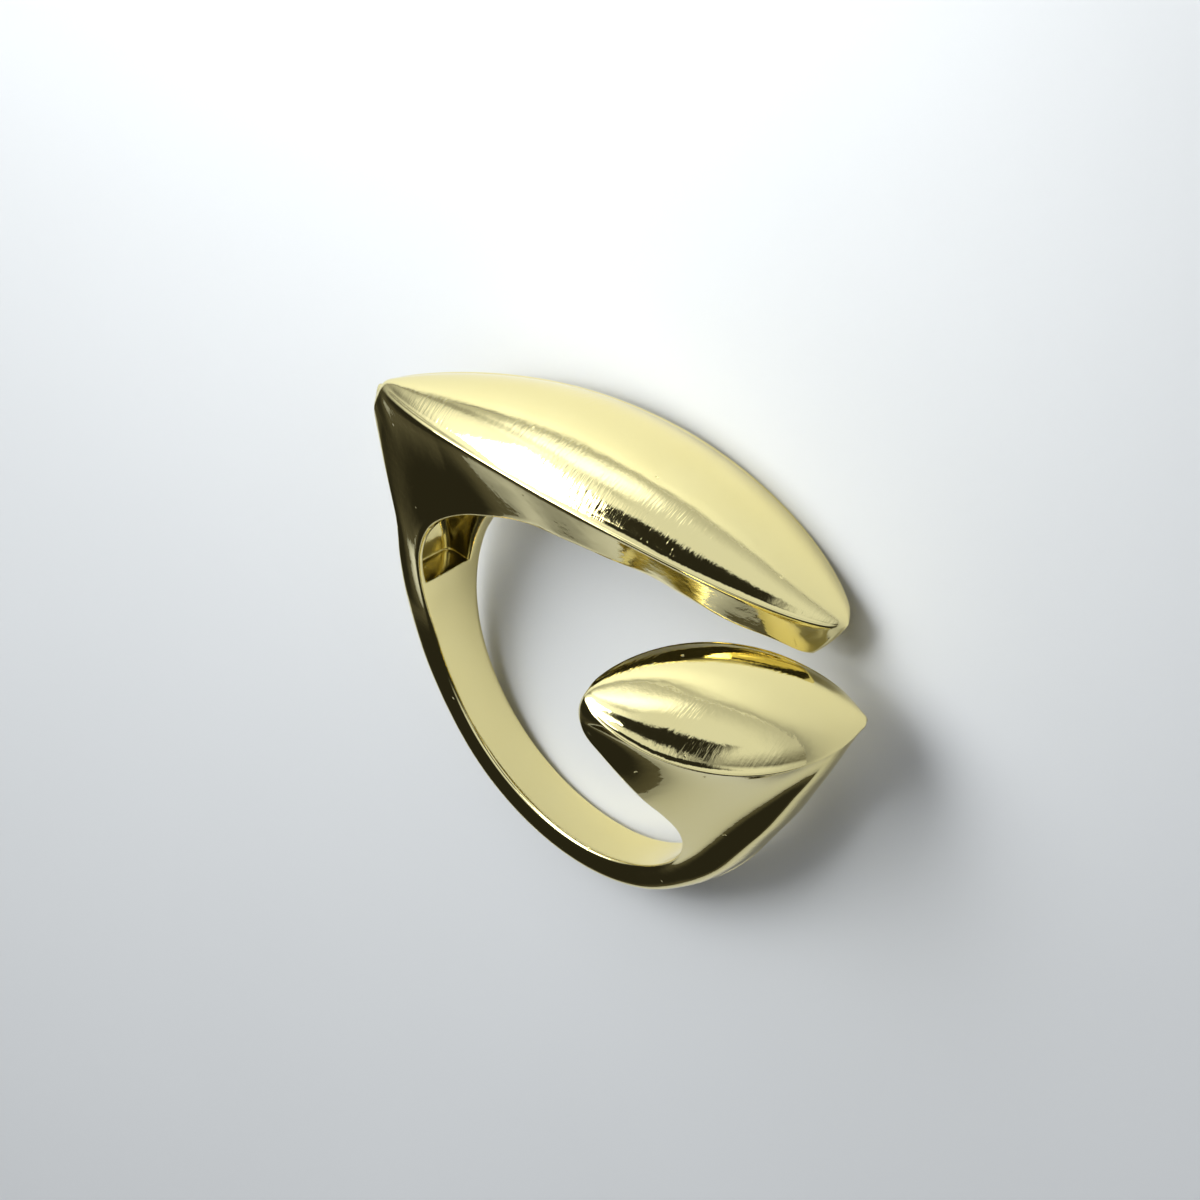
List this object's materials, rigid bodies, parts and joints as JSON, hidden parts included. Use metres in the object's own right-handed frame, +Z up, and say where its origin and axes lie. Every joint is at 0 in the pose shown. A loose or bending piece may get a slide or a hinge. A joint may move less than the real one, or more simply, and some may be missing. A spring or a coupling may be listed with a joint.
{
  "type": "adjustable ring",
  "caption": "Open cast finger ring whose narrow band ends in a long and a short domed leaf-shaped head that pass each other, polished pale gold.",
  "frame": {"origin": "middle of the outline at the height of the table, the ring lying on its far side", "axes": "+Z up, leaning 12 degrees from the finger hole's axis; +Y towards the two heads; +X towards the short head's side"},
  "size_m": [0.028, 0.023, 0.0118],
  "materials": {
    "ring": "polished pale gold plating"
  },
  "bodies": {
    "root": {"ring": "ring"}
  },
  "joints": []
}
